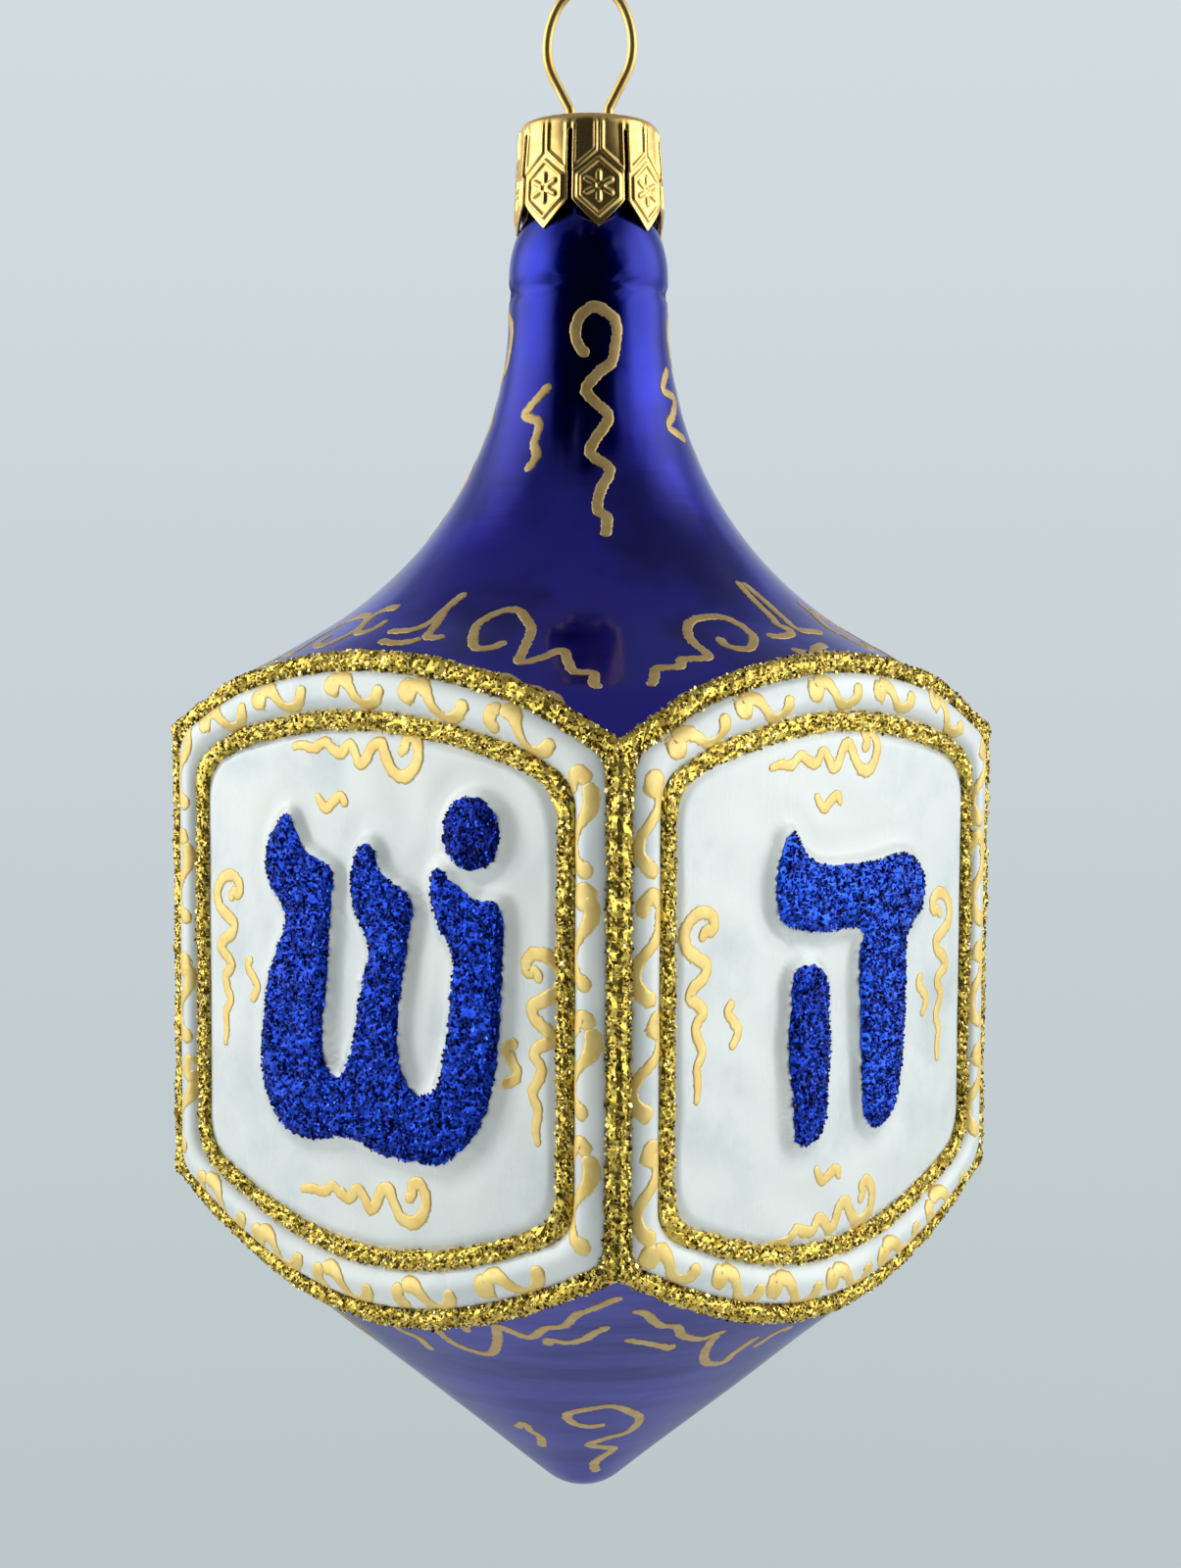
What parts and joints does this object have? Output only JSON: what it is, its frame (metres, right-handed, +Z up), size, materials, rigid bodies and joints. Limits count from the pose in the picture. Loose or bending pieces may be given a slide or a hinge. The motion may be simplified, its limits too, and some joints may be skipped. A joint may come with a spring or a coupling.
{
  "type": "hanging dreidel ornament",
  "caption": "Hanging blown-glass ornament in dreidel form: blue lacquered body with swelling white faces and relief letters, a pressed crown cap and a sprung wire loop.",
  "frame": {"origin": "the hook eye: on the body's axis, at the underside of the wire loop's top, where a hook or ribbon carries the ornament", "axes": "+Z up along the body's axis from the tip to the loop; -Y out of the face with the shin, +X out of the face with the he"},
  "size_m": [0.056, 0.056, 0.1296],
  "materials": {
    "lacquered_glass": "blown glass, silvered inside, deep blue lacquer outside",
    "white_enamel": "glossy white paint in low relief",
    "gold_glitter": "gold glitter set in a bead of adhesive",
    "blue_glitter": "blue glitter over raised relief",
    "gold_cap": "gold coated pressed sheet",
    "gold_wire": "bright"
  },
  "bodies": {
    "hanger": {"hanger_wire": "gold_wire"},
    "cap": {"crown_cap": "gold_cap"},
    "ornament": {"glass_body": "lacquered_glass", "enamel_shin": "white_enamel", "enamel_he": "white_enamel", "enamel_gimel": "white_enamel", "enamel_nun": "white_enamel", "ring_line_shin": "gold_glitter", "ring_line_he": "gold_glitter", "ring_line_gimel": "gold_glitter", "ring_line_nun": "gold_glitter", "letter_shin": "blue_glitter", "letter_he": "blue_glitter", "letter_gimel": "blue_glitter", "letter_nun": "blue_glitter", "corner_lines": "gold_glitter", "upper_line": "gold_glitter", "lower_line": "gold_glitter"}
  },
  "joints": [
    {"name": "loop_pull", "type": "slide", "parent": "hanger", "child": "cap", "axis": [0, 0, -1], "range_m": [0, 0.004]},
    {"name": "cap_pull", "type": "slide", "parent": "cap", "child": "ornament", "axis": [0, 0, -1], "range_m": [0, 0.022]}
  ]
}
